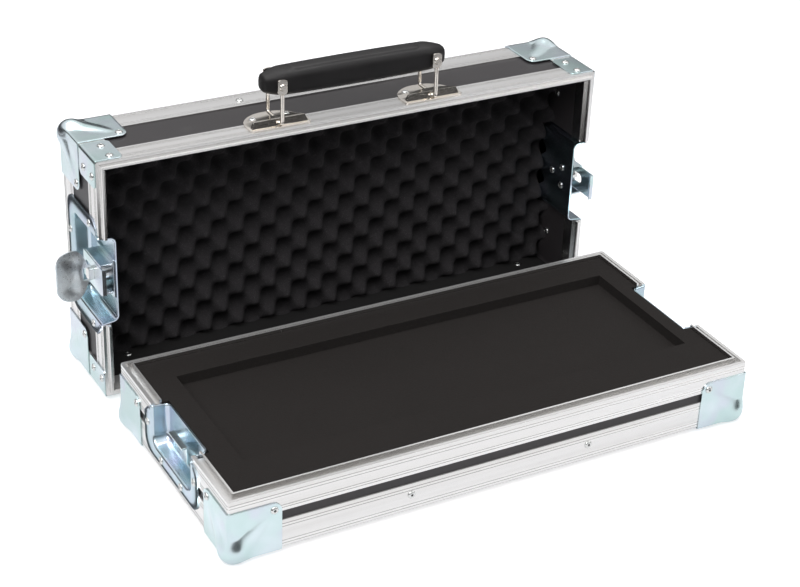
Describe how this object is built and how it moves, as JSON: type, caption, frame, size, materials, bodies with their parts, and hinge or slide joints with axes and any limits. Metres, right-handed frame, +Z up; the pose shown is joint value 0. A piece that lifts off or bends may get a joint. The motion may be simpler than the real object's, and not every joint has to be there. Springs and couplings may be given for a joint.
{
  "type": "guitar pedal flight case",
  "caption": "Small flight case in two halves: a foam-lined tray with a pedal bed and a lift-off lid with butterfly latches and a carrying handle.",
  "frame": {"origin": "middle of the object's box at the floor that it stands on", "axes": "+X along the case, +Y from the tray to the lid standing behind it, +Z up"},
  "size_m": [0.592, 0.407, 0.3165],
  "materials": {
    "aluminium": "mill-finish extrusion with fine length-wise lines",
    "zinc_steel": "pressed steel, blue-passivated zinc plating",
    "nickel_steel": "polished nickel plating",
    "wing_steel": "satin zinc plating",
    "rivet_steel": "smooth rivet heads",
    "black_panel": "plywood faced with black laminate",
    "tray_foam": "closed-cell foam, fine pores",
    "egg_crate_foam": "open-cell convoluted foam",
    "grip_cover": "soft vinyl cover with stitched seams"
  },
  "bodies": {
    "tray": {"tray_bottom_panel": "black_panel", "tray_front_panel": "black_panel", "tray_front_edge": "aluminium", "tray_front_rim": "aluminium", "tray_right_panel": "black_panel", "tray_right_edge": "aluminium", "tray_right_rim": "aluminium", "tray_rear_panel": "black_panel", "tray_rear_edge": "aluminium", "tray_rear_rim": "aluminium", "tray_left_panel": "black_panel", "tray_left_edge": "aluminium", "tray_left_rim": "aluminium", "tray_ball_corner_front_left": "zinc_steel", "tray_ball_corner_front_right": "zinc_steel", "tray_ball_corner_rear_left": "zinc_steel", "tray_ball_corner_rear_right": "zinc_steel", "tray_dish_left": "zinc_steel", "tray_dish_right": "zinc_steel", "tray_catch_left": "zinc_steel", "tray_catch_right": "zinc_steel", "tray_foam": "tray_foam", "tray_rivets": "rivet_steel"},
    "lid": {"lid_back_panel": "black_panel", "lid_bottom_panel": "black_panel", "lid_bottom_edge": "aluminium", "lid_bottom_rim": "aluminium", "lid_right_panel": "black_panel", "lid_right_edge": "aluminium", "lid_right_rim": "aluminium", "lid_top_panel": "black_panel", "lid_top_edge": "aluminium", "lid_top_rim": "aluminium", "lid_left_panel": "black_panel", "lid_left_edge": "aluminium", "lid_left_rim": "aluminium", "lid_ball_corner_bottom_left": "zinc_steel", "lid_ball_corner_bottom_right": "zinc_steel", "lid_ball_corner_top_left": "zinc_steel", "lid_ball_corner_top_right": "zinc_steel", "lid_corner_posts": "aluminium", "lid_corner_braces": "zinc_steel", "lid_foam": "egg_crate_foam", "lid_rivets": "rivet_steel", "lid_dish_left": "zinc_steel", "lid_dish_right": "zinc_steel", "latch_base_left": "zinc_steel", "latch_base_right": "zinc_steel", "handle_foot_left": "nickel_steel", "handle_foot_right": "nickel_steel"},
    "latch_spindle_left": {"latch_spindle_left": "zinc_steel"},
    "latch_wing_left": {"latch_wing_left": "wing_steel"},
    "latch_hook_left": {"latch_hook_left": "zinc_steel"},
    "latch_spindle_right": {"latch_spindle_right": "zinc_steel"},
    "latch_wing_right": {"latch_wing_right": "wing_steel"},
    "latch_hook_right": {"latch_hook_right": "zinc_steel"},
    "handle_loop_left": {"handle_loop_left": "nickel_steel"},
    "handle_loop_right": {"handle_loop_right": "nickel_steel"},
    "handle_grip": {"handle_grip": "grip_cover", "handle_pins": "nickel_steel"}
  },
  "joints": [
    {"name": "lid_turn", "type": "hinge", "parent": "tray", "child": "lid", "pos_m": [0.015, 0.044, 0.0185], "axis": [1, 0, 0], "range_deg": [0, 90]},
    {"name": "latch_twist_left", "type": "hinge", "parent": "lid", "child": "latch_spindle_left", "pos_m": [-0.252, 0.1255, 0.133], "axis": [-1, 0, 0], "range_deg": [0, 180]},
    {"name": "latch_hook_slide_left", "type": "slide", "parent": "lid", "child": "latch_hook_left", "axis": [0, -1, 0], "range_m": [0, 0.016]},
    {"name": "latch_wing_fold_left", "type": "hinge", "parent": "latch_spindle_left", "child": "latch_wing_left", "pos_m": [-0.263, 0.1255, 0.133], "axis": [0, 0, -1], "range_deg": [0, 90]},
    {"name": "latch_twist_right", "type": "hinge", "parent": "lid", "child": "latch_spindle_right", "pos_m": [0.282, 0.1255, 0.133], "axis": [1, 0, 0], "range_deg": [-180, 0]},
    {"name": "latch_hook_slide_right", "type": "slide", "parent": "lid", "child": "latch_hook_right", "axis": [0, -1, 0], "range_m": [-0.016, 0]},
    {"name": "latch_wing_fold_right", "type": "hinge", "parent": "latch_spindle_right", "child": "latch_wing_right", "pos_m": [0.293, 0.1255, 0.133], "axis": [0, 0, -1], "range_deg": [0, 90]},
    {"name": "handle_swing", "type": "hinge", "parent": "lid", "child": "handle_loop_left", "pos_m": [-0.0695, 0.1185, 0.264], "axis": [0, 1, 0], "range_deg": [-55, 55]},
    {"name": "handle_swing_right", "type": "hinge", "parent": "lid", "child": "handle_loop_right", "pos_m": [0.0995, 0.1185, 0.264], "axis": [0, 1, 0], "range_deg": [-55, 55]},
    {"name": "handle_grip_level", "type": "hinge", "parent": "handle_loop_left", "child": "handle_grip", "pos_m": [-0.0695, 0.1185, 0.3025], "axis": [0, 1, 0], "range_deg": [-55, 55]}
  ],
  "couplings": [
    {"joint": "latch_hook_slide_left", "follows": "latch_twist_left", "m_per_rad": 0.0050929},
    {"joint": "latch_hook_slide_right", "follows": "latch_twist_right", "m_per_rad": 0.0050929},
    {"joint": "handle_swing_right", "follows": "handle_swing", "ratio": 1},
    {"joint": "handle_grip_level", "follows": "handle_swing", "ratio": -1}
  ]
}
